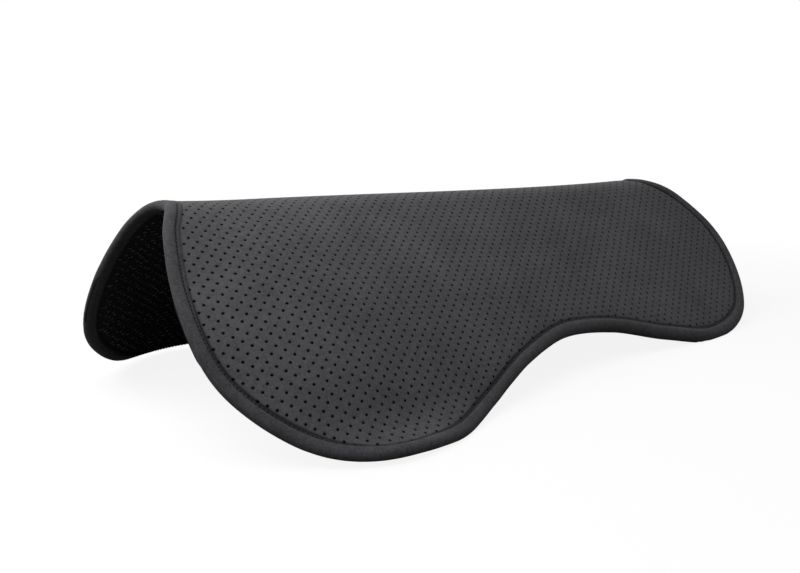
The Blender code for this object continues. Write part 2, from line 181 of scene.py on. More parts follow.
# Threads: seat above the groove as a share of the radius, bow of a stitch, dive at its ends, and lean
THREAD_SEAT = 0.9
THREAD_BOW = 0.00006
THREAD_DIVE = 0.0007
THREAD_DIVE_START = 0.55
THREAD_LEAN = 0.00012

# Counts, steps and clearances of the meshes
OUTLINE_STEPS = 16
PROFILE_STEPS = 48
RIM_STATIONS = 480
STATIONS_PER_STITCH = 4
THREAD_STEPS = 8
THREAD_SIDES = 6
NORMAL_STEP = 0.0005
LAYER_CELL = 0.0045
GRID_REACH = 1.3
RING_CLEARANCE = 0.0004
MERGE_DISTANCE = 1e-7
POINTS_AT_ONCE = 4000
SMOOTH_ANGLE_DEG = 35.0

# Finish of each material as (roughness, specular level, sheen), and its relief as (depth, strength)
FINISH = {
    "cover": (0.9, 0.25, 0.04),
    "core": (0.95, 0.15, 0.0),
    "grip_lining": (0.75, 0.12, 0.0),
    "binding": (0.85, 0.25, 0.04),
    "thread": (0.6, 0.3, 0.0),
    "floor": (1.0, 0.0, 0.0),
}
RELIEF = {
    "cover": (0.00018, 0.7),
    "core": (0.0003, 0.6),
    "grip_lining": (0.0002, 0.6),
    "binding": (0.00016, 0.6),
    "thread": (0.0001, 0.5),
}
SHEEN_ROUGHNESS = 0.5
SHEEN_TINT = (0.6, 0.6, 0.62, 1.0)

# Nap: its strengths, its noises as (scale, detail, roughness, distortion), and their parts in its relief
NAP = {
    "cover": {"Mottle": 0.75, "Fibre": 1.3},
    "grip_lining": {"Mottle": 0.3, "Fibre": 0.5},
    "binding": {"Mottle": 1.2, "Fibre": 1.8},
}
NAP_NOISES = {
    "broad": (22.0, 3.0, 0.5, 0.0),
    "cloud": (240.0, 2.0, 0.6, 0.0),
    "fine": (900.0, 2.0, 0.7, 0.0),
    "hair": (2600.0, 1.0, 0.5, 0.8),
}
NAP_RELIEF = (0.6, 0.4)

# Knit: the size of its loops, the rise of its ribs, and how soon the gaps between loops close
KNIT = {
    "grip_lining": {"Loop width": 0.0009, "Loop length": 0.0012},
    "binding": {"Loop width": 0.0008, "Loop length": 0.0007},
}
KNIT_RISE = 0.25
KNIT_GAP = 2.2

# Painted shade as (start, end, factor before, factor after): down a hole's wall, together with the dark foam
# of its cut; on the cover beside the tape; on the tape away from its stitch line; and on the tape away from
# the flange's edge
HOLE_WALL_FOAM_AND_SHADE = (0.20, 0.70, 1.0, 0.08)
# Painted shade on the cover beside the tape, standing in for the shade the tape casts there
TAPE_SIDE_PAINTED_SHADE = (0.0106, 0.0127, 0.04, 1.0)
STITCH_LINE_PAINTED_SHADE = (0.0004, 0.0010, 0.16, 1.0)
FLANGE_EDGE_PAINTED_SHADE = (0.0002, 0.0007, 0.14, 1.0)

# Dipped ring round a hole: its reach in hole radii, the painted shade that darkens it, and the nap's relief
# beside it
HOLE_RING_REACH = 1.75
HOLE_RING_PAINTED_SHADE = 0.22
COVER_NAP_RELIEF = 0.5

# Foam: how fine its cells are, and the painted shade from a cell's hollow middle to its wall
FOAM_SCALE = 1600.0
FOAM_PAINTED_SHADE = (0.0, 0.6, 0.55, 1.1)

# Bars of the lining: how much paler a painted highlight makes them, and the noise and steps of its patches
BAR_GLINT_TONE = 13.0
BAR_GLINT_NOISE = {"Scale": 420.0, "Detail": 2.0}
BAR_GLINT_STEPS = (0.44, 0.62, 0.0, 1.0)

# Tape: how dark the painted shade in the gaps of its knit is, and the parts of knit and nap in its relief
KNIT_GAP_PAINTED_SHADE = 0.25
TAPE_RELIEF = (0.6, 0.4)

# Thread: length and width of its plies, and the painted shade in the hollows between them
PLY_LENGTH = 0.0008
PLY_WIDTH = 0.0009
PLY_PAINTED_SHADE = 0.7

# Floor: size, depth below the pad, tones in bounced light and to the eye, and how it fades to white
FLOOR_SIZE = 12.0
FLOOR_DROP = 0.0002
FLOOR_BOUNCE = 0.20
FLOOR_COLOUR = 0.93
FLOOR_FADE = (0.35, 0.75, 0.88, 1.0)
WHITE = (1.0, 1.0, 1.0, 1.0)

# Light: strength of the world, lamps as name: (place, width, power in watts), and the point they light
WORLD_STRENGTH = 0.19
LAMPS = {
    "key": ((0.20, -0.50, 0.90), 0.8, 8.2),
    "fill": ((-0.70, -0.60, 0.80), 0.6, 6.6),
}
LAMP_AIM = (0.0, 0.0, 0.08)

# Photograph's camera: the point it looks at, where it stands from there, and its lens
VIEW_TARGET = (0.0, -0.0522, 0.0644)
VIEW_AZIMUTH_DEG = 36.79
VIEW_ELEVATION_DEG = 10.90
VIEW_ROLL_DEG = -2.71
VIEW_DISTANCE = 0.8371
VIEW_LENS_MM = 45.62
SENSOR_MM = 36.0


def eased(at, values, x):
    """Smooth curve through the values, with the slope at each taken from its neighbours."""
    at = np.asarray(at)
    values = np.asarray(values)
    slope = np.gradient(values, at)
    x = np.clip(x, at[0], at[-1])
    i = np.clip(np.searchsorted(at, x, side="right") - 1, 0, len(at) - 2)
    width = at[i + 1] - at[i]
    u = (x - at[i]) / width
    start = (1 + 2 * u) * (1 - u) ** 2 * values[i] + u * (1 - u) ** 2 * width * slope[i]
    end = u * u * (3 - 2 * u) * values[i + 1] - u * u * (1 - u) * width * slope[i + 1]
    return start + end


def smooth_step(u):
    u = np.clip(u, 0.0, 1.0)
    return u * u * (3 - 2 * u)


def unit(vectors):
    return vectors / np.linalg.norm(vectors, axis=-1, keepdims=True)


def spine_height(s):
    fall = (s / PAD_LENGTH - SPINE_FALL_START) / (SPINE_FALL_END - SPINE_FALL_START)
    curl = np.maximum(1.0 - s / WITHERS_RISE_LENGTH, 0.0)
    return SPINE_FALL * (0.5 - smooth_step(fall)) + WITHERS_RISE * curl ** 2


def loose_skin(pattern):
    """Points of the top skin for points of the flat pattern, before the pad is set level."""
    s = pattern[:, 0]
    t = np.abs(pattern[:, 1])
    right = pattern[:, 1] < 0
    share = s / PAD_LENGTH
    crown = eased(DRAPE_AT, CROWN_SLOPE, share) + right * eased(DRAPE_AT, RIGHT_CROWN_CHANGE, share)
    skirt = eased(DRAPE_AT, SKIRT_SLOPE, share) + right * eased(DRAPE_AT, RIGHT_SKIRT_CHANGE, share)
    flare_rate = np.where(right, RIGHT_TOE_FLARE_PER_METRE, TOE_FLARE_PER_METRE)
    across = np.zeros(len(s))
    down = np.zeros(len(s))
    for k in range(PROFILE_STEPS + 1):
        depth = t * k / PROFILE_STEPS
        on_crown = smooth_step(depth / CROWN_HALF_WIDTH)
        on_skirt = np.clip((depth - CROWN_HALF_WIDTH) / (SKIRT_DEPTH - CROWN_HALF_WIDTH), 0.0, 1.0)
        flare = flare_rate * np.maximum(depth - SKIRT_DEPTH, 0.0)
        slope = np.radians(crown * on_crown + (skirt - crown) * on_skirt - flare)
        weight = (0.5 if k in (0, PROFILE_STEPS) else 1.0) / PROFILE_STEPS
        across += weight * np.cos(slope)
        down += weight * np.sin(slope)
    return np.column_stack((pattern[:, 1] * across, s, spine_height(s) - t * down))


def level_from_frame():
    """Turn and shift that set the drape level, from where the frame has the fold's axis."""
    joint = frame["joints"][0]
    ends = loose_skin(np.array([(share * PAD_LENGTH, 0.0) for share in (OUTLINE[0][0], OUTLINE[-1][0])]))
    ends[:, 2] -= FOLD_AXIS_DEPTH
    run = ends[1] - ends[0]
    pitch = math.atan2(joint["axis"][2], joint["axis"][1]) - math.atan2(run[2], run[1])
    turn = np.array(Matrix.Rotation(pitch, 3, "X"))
    return turn, np.array(joint["pos_m"]) - turn @ ends.mean(axis=0)


LEVEL_TURN, LEVEL_SHIFT = level_from_frame()


def skin(pattern):
    """Points of the top skin in the frame, for points of the flat pattern."""
    return loose_skin(pattern) @ LEVEL_TURN.T + LEVEL_SHIFT


def skin_normal(pattern):
    along = np.array((NORMAL_STEP, 0.0))
    down = np.array((0.0, NORMAL_STEP))
    run = skin(pattern + along) - skin(pattern - along)
    fall = skin(pattern + down) - skin(pattern - down)
    return unit(np.cross(fall, run))


def outline_loop():
    """Cut outline of the whole pad on the flat pattern: down the left side and back up the right."""
    points = np.array(OUTLINE) * (PAD_LENGTH, FLAP_DEPTH)
    chain = np.vstack((points[1] * (1, -1), points, points[-2] * (1, -1)))
    left = []
    for i in range(1, len(chain) - 2):
        a, b, c, d = chain[i - 1:i + 3]
        ab, bc, cd = (np.hypot(*(q - p)) for p, q in ((a, b), (b, c), (c, d)))
        leave = ((b - a) / ab - (c - a) / (ab + bc) + (c - b) / bc) * bc
        arrive = ((c - b) / bc - (d - b) / (bc + cd) + (d - c) / cd) * bc
        u = (np.arange(OUTLINE_STEPS) / OUTLINE_STEPS)[:, None]
        left.append((1 + 2 * u) * (1 - u) ** 2 * b + u * (1 - u) ** 2 * leave
                    + u * u * (3 - 2 * u) * c - u * u * (1 - u) * arrive)
    left = np.vstack(left + [points[-1:]])
    return np.vstack((left, left[-2:0:-1] * (1, -1)))


def flat_area():
    """Area of the cut sheet on the flat pattern."""
    loop = outline_loop()
    following = np.roll(loop, -1, axis=0)
    return float(abs((loop[:, 0] * following[:, 1] - following[:, 0] * loop[:, 1]).sum()) / 2)


def edge_distance(pattern):
    """Insets of points of the flat pattern, negative outside the cut edge."""
    loop = outline_loop()
    way = np.roll(loop, -1, axis=0) - loop
    length_squared = (way ** 2).sum(axis=1)
    distance = np.empty(len(pattern))
    for start in range(0, len(pattern), POINTS_AT_ONCE):
        points = pattern[start:start + POINTS_AT_ONCE, None]
        share = np.clip(((points - loop) * way).sum(axis=2) / length_squared, 0.0, 1.0)
        off = points - loop - share[..., None] * way
        gap = (off ** 2).sum(axis=2)
        nearest = gap.argmin(axis=1)
        row = np.arange(len(nearest))
        inward = off[row, nearest, 0] * way[nearest, 1] - off[row, nearest, 1] * way[nearest, 0]
        distance[start:start + POINTS_AT_ONCE] = np.sqrt(gap[row, nearest]) * np.sign(inward)
    return distance


def layer_height(heights, inset):
    """Height of a layer's face: level on the panel, drawn in towards the seam, and straight to its edge."""
    panel, seam, edge = heights
    from_seam = np.clip((inset - TAPE_WIDTH) / SEAM_EASE, 0.0, 1.0)
    from_edge = np.clip((inset - TAPE_WALL) / (TAPE_WIDTH - TAPE_WALL), 0.0, 1.0)
    on_panel = panel + (seam - panel) * (1 - from_seam) ** 2
    return np.where(inset > TAPE_WIDTH, on_panel, edge + (seam - edge) * from_edge)


def puckers(pattern, inset):
    """Soft rise and fall of the whole sandwich, strongest beside the seam."""
    s, t = pattern[:, 0], pattern[:, 1]
    wave = np.zeros(len(s))
    for length, along, down in PUCKER_WAVES:
        rate = 2 * math.pi / length
        wave += np.sin(rate * s + along) * np.cos(rate * np.abs(t) + down)
    near = np.exp(-((inset - TAPE_WIDTH) / PUCKER_REACH) ** 2)
    return PUCKER_HEIGHT * wave * near


class Edge:
    """Stations round the whole cut edge, evenly spaced, with the directions in which the edge is built."""

    def __init__(self, count):
        loop = outline_loop()
        closed = np.vstack((loop, loop[:1]))
        steps = np.linalg.norm(np.diff(skin(closed), axis=0), axis=1)
        run = np.concatenate(([0.0], np.cumsum(steps)))
        at = np.arange(count) / count * run[-1]
        self.length = run[-1]
        self.pattern = np.column_stack([np.interp(at, run, closed[:, k]) for k in (0, 1)])
        number = np.arange((len(OUTLINE) - 1) * OUTLINE_STEPS + 1) / OUTLINE_STEPS
        number = np.concatenate((number, number[-2::-1]))
        self.fullness = eased(FULLNESS_AT, FULLNESS, np.interp(at, run, number))
        way = unit(np.roll(self.pattern, -1, axis=0) - np.roll(self.pattern, 1, axis=0))
        self.pattern_inward = np.column_stack((way[:, 1], -way[:, 0]))
        inner = self.pattern + self.pattern_inward * TAPE_WIDTH
        self.edge = skin(self.pattern)
        self.inward = unit(skin(inner) - self.edge)
        normal = skin_normal(inner)
        self.normal = unit(normal - self.inward * (normal * self.inward).sum(axis=1, keepdims=True))

    def at(self, inset, height):
        """Points at that inset and height, one for each station."""
        inset = np.broadcast_to(inset, len(self.edge))[:, None]
        height = np.broadcast_to(height, len(self.edge))[:, None]
        return self.edge + self.inward * inset + self.normal * height


class Cells:
    """Square cells of the flat pattern inside the cut edge, and the triangles that fill up to the tape."""

    def __init__(self, pitch, turn, origin):
        self.pitch = pitch
        self.axes = np.array(((math.cos(turn), math.sin(turn)), (-math.sin(turn), math.cos(turn)))) * pitch
        self.origin = np.asarray(origin)
        reach = int(GRID_REACH * PAD_LENGTH / pitch)
        i, j = np.meshgrid(np.arange(-reach, reach), np.arange(-reach, reach), indexing="ij")
        cells = np.column_stack((i.ravel(), j.ravel()))
        centres = self.place(cells)
        inside = (centres[:, 0] > 0) & (centres[:, 0] < PAD_LENGTH) & (np.abs(centres[:, 1]) < FLAP_DEPTH)
        cells, centres = cells[inside], centres[inside]
        inset = edge_distance(centres)
        kept = inset > TAPE_WALL + pitch * math.sqrt(0.5) + RING_CLEARANCE
        self.cells, self.centres, self.inset = cells[kept], centres[kept], inset[kept]
        self.number_corners()
        self.fill_border()

    def place(self, cells):
        """Flat-pattern points for cell coordinates."""
        return self.origin + np.asarray(cells) @ self.axes

    def cell_coordinates(self, pattern):
        """Cell coordinates for flat-pattern points."""
        return (pattern - self.origin) @ self.axes.T / self.pitch ** 2

    def number_corners(self):
        around = np.array(((0, 0), (1, 0), (1, 1), (0, 1)))
        corners = (self.cells[:, None] + around).reshape(-1, 2)
        unique, index = np.unique(corners, axis=0, return_inverse=True)
        self.corner_points = self.place(unique - 0.5)
        self.quads = index.reshape(-1, 4)

    def fill_border(self):
        """Triangles between the outermost cells and the ring where the layer ends inside the tape."""
        sides = np.concatenate([self.quads[:, [k, (k + 1) % 4]] for k in range(4)])
        known = set(map(tuple, sides.tolist()))
        open_sides = [side for side in known if side[::-1] not in known]
        used = sorted({corner for side in open_sides for corner in side})
        local = {corner: k for k, corner in enumerate(used)}
        rim = Edge(RIM_STATIONS)
        ring = rim.pattern + rim.pattern_inward * TAPE_WALL
        points = np.vstack((self.corner_points[used], ring))
        edges = [(local[a], local[b]) for a, b in open_sides]
        first = len(used)
        edges += [(first + k, first + (k + 1) % len(ring)) for k in range(len(ring))]
        found = geometry.delaunay_2d_cdt([Vector(p) for p in points.tolist()], edges, [], 1, MERGE_DISTANCE)
        if len(found[0]) != len(points):
            raise RuntimeError("the border of a layer crosses its own edge")
        source = [origin[0] for origin in found[3]]
        cells = set(map(tuple, self.cells.tolist()))
        total = len(self.corner_points)
        to_global = used + [total + k for k in range(len(ring))]
        self.border = []
        for face in found[2]:
            corners = [source[k] for k in face]
            cell = np.rint(self.cell_coordinates(points[corners].mean(axis=0))).astype(int)
            if tuple(cell.tolist()) not in cells:
                self.border.append(tuple(to_global[k] for k in corners))
        self.points = np.vstack((self.corner_points, ring))


def new_piece(name, points, faces):
    """A mesh object at the origin, smooth but for its sharp rims, with its faces pointing out."""
    mesh = bpy.data.meshes.new(name)
    mesh.from_pydata(points.tolist(), [], faces)
    bm = bmesh.new()
    bm.from_mesh(mesh)
    bmesh.ops.recalc_face_normals(bm, faces=bm.faces)
    bm.to_mesh(mesh)
    bm.free()
    mesh.shade_smooth()
    mesh.set_sharp_from_angle(angle=math.radians(SMOOTH_ANGLE_DEG))
    obj = bpy.data.objects.new(name, mesh)
    bpy.context.scene.collection.objects.link(obj)
    return obj


def store_pattern(obj, values):
    """Keeps two coordinates of each point in the piece's own UV map, for patterns that follow the sheet."""
    corners = np.empty(len(obj.data.loops), dtype=np.int32)
    obj.data.loops.foreach_get("vertex_index", corners)
    layer = obj.data.uv_layers.new(name="pattern")
    layer.uv.foreach_set("vector", np.asarray(values, dtype=np.float32)[corners].ravel())


def store_value(obj, name, values):
    """Keeps one number of each point on the piece, for its material to read."""
    layer = obj.data.attributes.new(name, "FLOAT", "POINT")
    layer.data.foreach_set("value", np.asarray(values, dtype=np.float32))


def closed_sheet(name, pattern, faces, top, bottom, marks):
    """Closed sheet over the flat pattern's faces, with walls along its rim and round its holes."""
    inset = np.maximum(edge_distance(pattern), TAPE_WALL)
    base = skin(pattern)
    normal = skin_normal(pattern)
    lift = puckers(pattern, inset)
    shells = [base + normal * (layer_height(face, inset) + lift)[:, None] for face in (top, bottom)]
    count = len(pattern)
    sides = set()
    for face in faces:
        sides.update(zip(face, face[1:] + face[:1]))
    walls = [(b, a, a + count, b + count) for a, b in sides if (b, a) not in sides]
    under = [tuple(k + count for k in reversed(face)) for face in faces]
    obj = new_piece(name, np.vstack(shells), list(faces) + under + sorted(walls))
    store_pattern(obj, np.vstack((marks, marks)))
    store_value(obj, "depth", np.repeat((0.0, 1.0), count))
    store_value(obj, "inset", np.tile(inset, 2))
    return obj


def plain_sheet(name, top, bottom):
    """Closed sheet without holes."""
    cells = Cells(LAYER_CELL, 0.0, (PAD_LENGTH / 2, 0.0))
    faces = [tuple(quad) for quad in cells.quads.tolist()] + cells.border
    return closed_sheet(name, cells.points, faces, top, bottom, cells.points)


def ring_piece(name, points, length, section):
    """Closed tube from a ring of points at each station, pressed flat where it would sink into the floor."""
    points[..., 2] = np.maximum(points[..., 2], 0.0)
    stations, around = points.shape[:2]
    faces = []
    for k in range(stations):
        here, there = k * around, (k + 1) % stations * around
        for i in range(around):
            j = (i + 1) % around
            faces.append((here + i, here + j, there + j, there + i))
    obj = new_piece(name, points.reshape(-1, 3), faces)
    along = np.repeat(np.arange(stations) * length / stations, around)
    store_pattern(obj, np.column_stack((along, np.tile(distance_across(section), stations))))
    return obj


def distance_across(section):
    """Distance along a section from its first point, for each of its points."""
    return np.concatenate(([0.0], np.cumsum(np.linalg.norm(np.diff(section, axis=0), axis=1))))


def dress(obj, material, nodes):
    """Gives a finished piece its finish, bakes its place into its points, and hides the frame's parts it
    stands for.
    """
    obj.data.materials.append(material)
    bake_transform(obj)
    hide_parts(*(f"{side}_{node}" for side in ("left", "right") for node in nodes))


class PadSizes(bpy.types.PropertyGroup):
    """Sizes of what repeats over the pad."""

    hole_pitch: FloatProperty(
        name="Hole pitch", description="Distance between neighbouring holes of the cover", default=0.00645,
        min=0.004, unit="LENGTH")
    hole_diameter: FloatProperty(
        name="Hole diameter", description="Width of each punched hole", default=0.0021, min=0.0005,
        unit="LENGTH")
    hole_turn: FloatProperty(
        name="Hole grid turn", description="Angle between the rows of holes and the spine",
        default=math.radians(46.26), subtype="ANGLE", unit="ROTATION")
    bar_length: FloatProperty(
        name="Bar length", description="Length of each raised bar of the grip lining", default=0.0050,
        min=0.001, unit="LENGTH")
    bar_width: FloatProperty(
        name="Bar width", description="Width of each raised bar of the grip lining", default=0.0014,
        min=0.0004, unit="LENGTH")
    bar_spacing: FloatProperty(
        name="Bar spacing", description="Distance between bars of one row", default=0.0075, min=0.003,
        unit="LENGTH")
    row_spacing: FloatProperty(
        name="Row spacing", description="Distance between rows of bars", default=0.0042, min=0.002,
        unit="LENGTH")
    stitches: IntProperty(
        name="Stitches", description="Number of stitches round the whole edge", default=580, min=60)
    thread_diameter: FloatProperty(
        name="Thread diameter", description="Width of the sewing thread", default=0.0008, min=0.0002,
        unit="LENGTH")


class PadColours(bpy.types.PropertyGroup):
    """Colours of the pad's materials, linear."""

    cover: FloatVectorProperty(
        name="Cover", description="Charcoal face of the cover", default=(0.058, 0.057, 0.061),
        subtype="COLOR", min=0.0, max=1.0)
    core: FloatVectorProperty(
        name="Foam", description="Closed-cell foam of the core", default=(0.007, 0.007, 0.008),
        subtype="COLOR", min=0.0, max=1.0)
    lining: FloatVectorProperty(
        name="Lining", description="Black grip lining", default=(0.0115, 0.0115, 0.0122),
        subtype="COLOR", min=0.0, max=1.0)
    tape: FloatVectorProperty(
        name="Tape", description="Charcoal edge tape", default=(0.0385, 0.037, 0.041),
        subtype="COLOR", min=0.0, max=1.0)
    thread: FloatVectorProperty(
        name="Thread", description="Dull black sewing thread", default=(0.006, 0.006, 0.007),
        subtype="COLOR", min=0.0, max=1.0)


def cover_faces(cells, hole_radius):
    """Points and faces of the perforated sheet: a ring of triangles round the hole in each cell."""
    pattern = [cells.points]
    faces = [tuple(face) for face in cells.border]
    first_angle = math.atan2(cells.axes[0][1], cells.axes[0][0]) + math.radians(HOLE_FIRST_CORNER_DEG)
    angles = first_angle + np.arange(HOLE_SIDES) * 2 * math.pi / HOLE_SIDES
    ring = np.column_stack((np.cos(angles), np.sin(angles))) * hole_radius
    total = len(cells.points)
    for quad, centre, inset in zip(cells.quads.tolist(), cells.centres, cells.inset):
        if inset < HOLE_MARGIN:
            faces.append(tuple(quad))
            continue
        pattern.append(centre + ring)
        rim = [total + k for k in range(HOLE_SIDES)]
        total += HOLE_SIDES
        for side in range(4):
            here, there = quad[side], quad[(side + 1) % 4]
            first, middle, last = (rim[(2 * side + k) % HOLE_SIDES] for k in range(3))
            faces.append((here, there, middle))
            faces.append((here, middle, first))
            faces.append((there, last, middle))
    return np.vstack(pattern), faces


def build_cover():
    sizes = bpy.context.scene.pad_sizes
    cells = Cells(sizes.hole_pitch, sizes.hole_turn, HOLE_ORIGIN)
    pattern, faces = cover_faces(cells, sizes.hole_diameter / 2)
    return closed_sheet("cover", pattern, faces, COVER_TOP, COVER_BOTTOM, cells.cell_coordinates(pattern))


def bar_centres():
    """Middles of the bars on the flat pattern: staggered rows that waver a little, clear of the tape."""
    sizes = bpy.context.scene.pad_sizes
    rows = int(FLAP_DEPTH / sizes.row_spacing)
    columns = int(PAD_LENGTH / sizes.bar_spacing) + 1
    row, column = np.meshgrid(np.arange(-rows, rows + 1), np.arange(columns + 1), indexing="ij")
    s = (column + 0.5 * (row % 2)) * sizes.bar_spacing
    drift = BAR_WAVE_DRIFT * np.sin(BAR_WAVE_TURN_PER_ROW * row)
    wave = BAR_WAVE * np.sin(2 * math.pi * s / BAR_WAVE_LENGTH + drift)
    centres = np.column_stack((s.ravel(), (row * sizes.row_spacing + wave).ravel()))
    return centres[edge_distance(centres) > TAPE_WIDTH + sizes.bar_length / 2]


def build_bars():
    """Raised bars under the lining, each a low six-sided block that narrows to its crown."""
    sizes = bpy.context.scene.pad_sizes
    centres = bar_centres()
    half = np.array((sizes.bar_length / 2, sizes.bar_width / 2))
    corners = np.array(((1.0, 0.0), (BAR_CORNER, 1.0), (-BAR_CORNER, 1.0),
                        (-1.0, 0.0), (-BAR_CORNER, -1.0), (BAR_CORNER, -1.0)))
    count = len(corners)
    levels = []
    for share, drop in (((1.0, 1.0), -BAR_SINK), (BAR_CROWN, BAR_RISE)):
        outline = (centres[:, None] + corners * half * share).reshape(-1, 2)
        inset = edge_distance(outline)
        height = layer_height(LINING_BOTTOM, inset) + puckers(outline, inset) - drop
        points = skin(outline) + skin_normal(outline) * height[:, None]
        levels.append(points.reshape(-1, count, 3))
    points = np.concatenate(levels, axis=1).reshape(-1, 3)
    bar = [tuple(range(count)), tuple(range(2 * count - 1, count - 1, -1))]
    bar += [(k, k + count, (k + 1) % count + count, (k + 1) % count) for k in range(count)]
    faces = [tuple(2 * count * n + k for k in face) for n in range(len(centres)) for face in bar]
    bars = new_piece("grip_bars", points, faces)
    store_pattern(bars, np.repeat(centres, 2 * count, axis=0))
    return bars


def build_grip_lining():
    """Lining sheet with staggered rows of raised bars on its underside."""
    sheet = plain_sheet("grip_lining", LINING_TOP, LINING_BOTTOM)
    bars = build_bars()
    bpy.ops.object.select_all(action="DESELECT")
    for obj, raised in ((bars, 1.0), (sheet, 0.0)):
        store_value(obj, "raised", np.full(len(obj.data.vertices), raised))
        obj.select_set(True)
    bpy.context.view_layer.objects.active = sheet
    bpy.ops.object.join()
    return sheet


def build_binding():
    """Tape folded round the edge, full or flat by turns, drawn in by stitches, lapped at the withers."""
    count = bpy.context.scene.pad_sizes.stitches * STATIONS_PER_STITCH
    edge = Edge(count)
    station = np.arange(count)
    pull = 0.5 + 0.5 * np.cos(station * 2 * math.pi / STATIONS_PER_STITCH)
    turn = station * 2 * math.pi / count
    wander = ROLL_WANDER * sum(share * np.sin(waves * turn + start) for waves, start, share in ROLL_WAVES)
    lap = LAP_WIDTH * smooth_step((LAP_REACH - np.abs(edge.pattern[:, 1])) / LAP_TAPER)
    lap = np.where(edge.pattern[:, 0] < PAD_LENGTH / 2, lap, 0.0)
    middle = TAPE_SECTION[:, 1].mean()
    strands = []
    for k, (inset, height) in enumerate(TAPE_SECTION):
        outward = 1.0 if height > middle else -1.0
        if k in STITCH_POINTS:
            height = height - outward * STITCH_PULL * pull
        elif k in GROOVE_POINTS:
            height = height - outward * GROOVE_PULL * pull
        elif k in LAP_POINTS:
            height = height + layer_height(COVER_TOP, inset + lap) - layer_height(COVER_TOP, inset)
            inset = inset + lap
        elif k in ROLL_POINTS:
            swell_in, swell_up = ROLL_SWELL[k - ROLL_START]
            pucker = ROLL_PUCKER * pull * smooth_step((inset - ROLL_PUCKER_START) / ROLL_PUCKER_REACH)
            height = height + swell_up * edge.fullness + outward * (WANDER_UP * wander - pucker)
            inset = inset + swell_in * edge.fullness + WANDER_IN * wander
        strands.append(edge.at(inset, height))
    return ring_piece("binding", np.stack(strands, axis=1), edge.length, TAPE_SECTION)


def build_thread(name, above):
    """One thread of the lock stitch: along the groove of the tape, and down into it at each hole."""
    sizes = bpy.context.scene.pad_sizes
    count = sizes.stitches * THREAD_STEPS
    edge = Edge(count)
    radius = sizes.thread_diameter / 2
    inset, groove = TAPE_SECTION[STITCH_POINTS[0 if above else 1]]
    sign = 1.0 if above else -1.0
    step = np.arange(count) % THREAD_STEPS / THREAD_STEPS
    to_end = np.abs(step - 0.5) * 2
    dive = (THREAD_DIVE + radius) * smooth_step((to_end - THREAD_DIVE_START) / (1 - THREAD_DIVE_START))
    height = groove + sign * (radius * THREAD_SEAT + THREAD_BOW * (1 - to_end) - dive)
    path = edge.at(inset + THREAD_LEAN * np.sin(2 * math.pi * step), height)
    tangent = unit(np.roll(path, -1, axis=0) - np.roll(path, 1, axis=0))
    side = unit(edge.inward - tangent * (edge.inward * tangent).sum(axis=1, keepdims=True))
    up = np.cross(tangent, side)
    angles = np.arange(THREAD_SIDES) * 2 * math.pi / THREAD_SIDES
    section = np.column_stack((np.cos(angles), np.sin(angles))) * radius
    rings = path[:, None] + section[:, :1] * side[:, None] + section[:, 1:] * up[:, None]
    return ring_piece(name, rings, edge.length, section)


class Nodes:
    """Short calls for building a node tree."""

    def __init__(self, tree):
        self.tree = tree

    def give(self, node, inputs):
        """Sets inputs of a node, named as {socket: value or another socket}."""
        for socket, value in inputs.items():
            if isinstance(value, bpy.types.NodeSocket):
                self.tree.links.new(value, node.inputs[socket])
            else:
                node.inputs[socket].default_value = value

    def add(self, kind, inputs=None, **settings):
        """A new node with its settings and inputs."""
        node = self.tree.nodes.new(kind)
        for name, value in settings.items():
            setattr(node, name, value)
        self.give(node, inputs or {})
        return node

    def maths(self, operation, a, b=0.0, clamp=False):
        return self.add("ShaderNodeMath", {0: a, 1: b}, operation=operation, use_clamp=clamp).outputs[0]

    def plus(self, a, b):
        return self.maths("ADD", a, b)

    def minus(self, a, b):
        return self.maths("SUBTRACT", a, b)

    def times(self, a, b):
        return self.maths("MULTIPLY", a, b)

    def by_shares(self, a, b, shares):
        """Sum of two values, each times its share."""
        return self.plus(self.times(a, shares[0]), self.times(b, shares[1]))

    def swing(self, a, b):
        """Sum of two noises, each taken about zero."""
        return self.plus(self.minus(a, 0.5), self.minus(b, 0.5))

    def mix_value(self, factor, a, b):
        """Blend of two values."""
        return self.add("ShaderNodeMix", {0: factor, 2: a, 3: b}, data_type="FLOAT").outputs[0]

    def eased_range(self, value, start, end, low, high):
        """Smooth change from low to high while the value goes from start to end."""
        return self.add("ShaderNodeMapRange", {0: value, 1: start, 2: end, 3: low, 4: high},
                        interpolation_type="SMOOTHSTEP").outputs[0]

    def shaded(self, shade, value, steps):
        """The shade, times a factor that changes smoothly with the value."""
        return self.times(shade, self.eased_range(value, *steps))

    def dimmed(self, shade, mask, share):
        """The shade, darker by that share where the mask is 1."""
        return self.times(shade, self.minus(1.0, self.times(mask, share)))

    def scaled_colour(self, colour, factor):
        """A colour made lighter or darker by a factor that changes over the surface."""
        return self.add("ShaderNodeVectorMath", {0: colour, "Scale": factor}, operation="SCALE").outputs[0]


def new_group(name, build, inputs, outputs):
    """Shader node group over a vector and values, whose outputs build works out from its inputs."""
    tree = bpy.data.node_groups.new(name, "ShaderNodeTree")
    tree.interface.new_socket("Vector", in_out="INPUT", socket_type="NodeSocketVector")
    for labels, side in ((inputs, "INPUT"), (outputs, "OUTPUT")):
        for label in labels:
            tree.interface.new_socket(label, in_out=side, socket_type="NodeSocketFloat")
    nodes = Nodes(tree)
    nodes.add("NodeGroupOutput", build(nodes, nodes.add("NodeGroupInput").outputs))
    return tree


def build_nap(nodes, given):
    """Soft fibre nap: a shade about 1, mottled and finely fibred, and its height."""
    noise = {}
    for name, (scale, detail, roughness, distortion) in NAP_NOISES.items():
        values = {"Vector": given["Vector"], "Scale": scale, "Detail": detail, "Roughness": roughness,
                  "Distortion": distortion}
        noise[name] = nodes.add("ShaderNodeTexNoise", values).outputs["Fac"]
    mottle = nodes.swing(noise["broad"], noise["cloud"])
    fibre = nodes.swing(noise["fine"], noise["hair"])
    shade = nodes.plus(nodes.by_shares(mottle, fibre, (given["Mottle"], given["Fibre"])), 1.0)
    return {"Shade": shade, "Height": nodes.by_shares(noise["fine"], noise["hair"], NAP_RELIEF)}


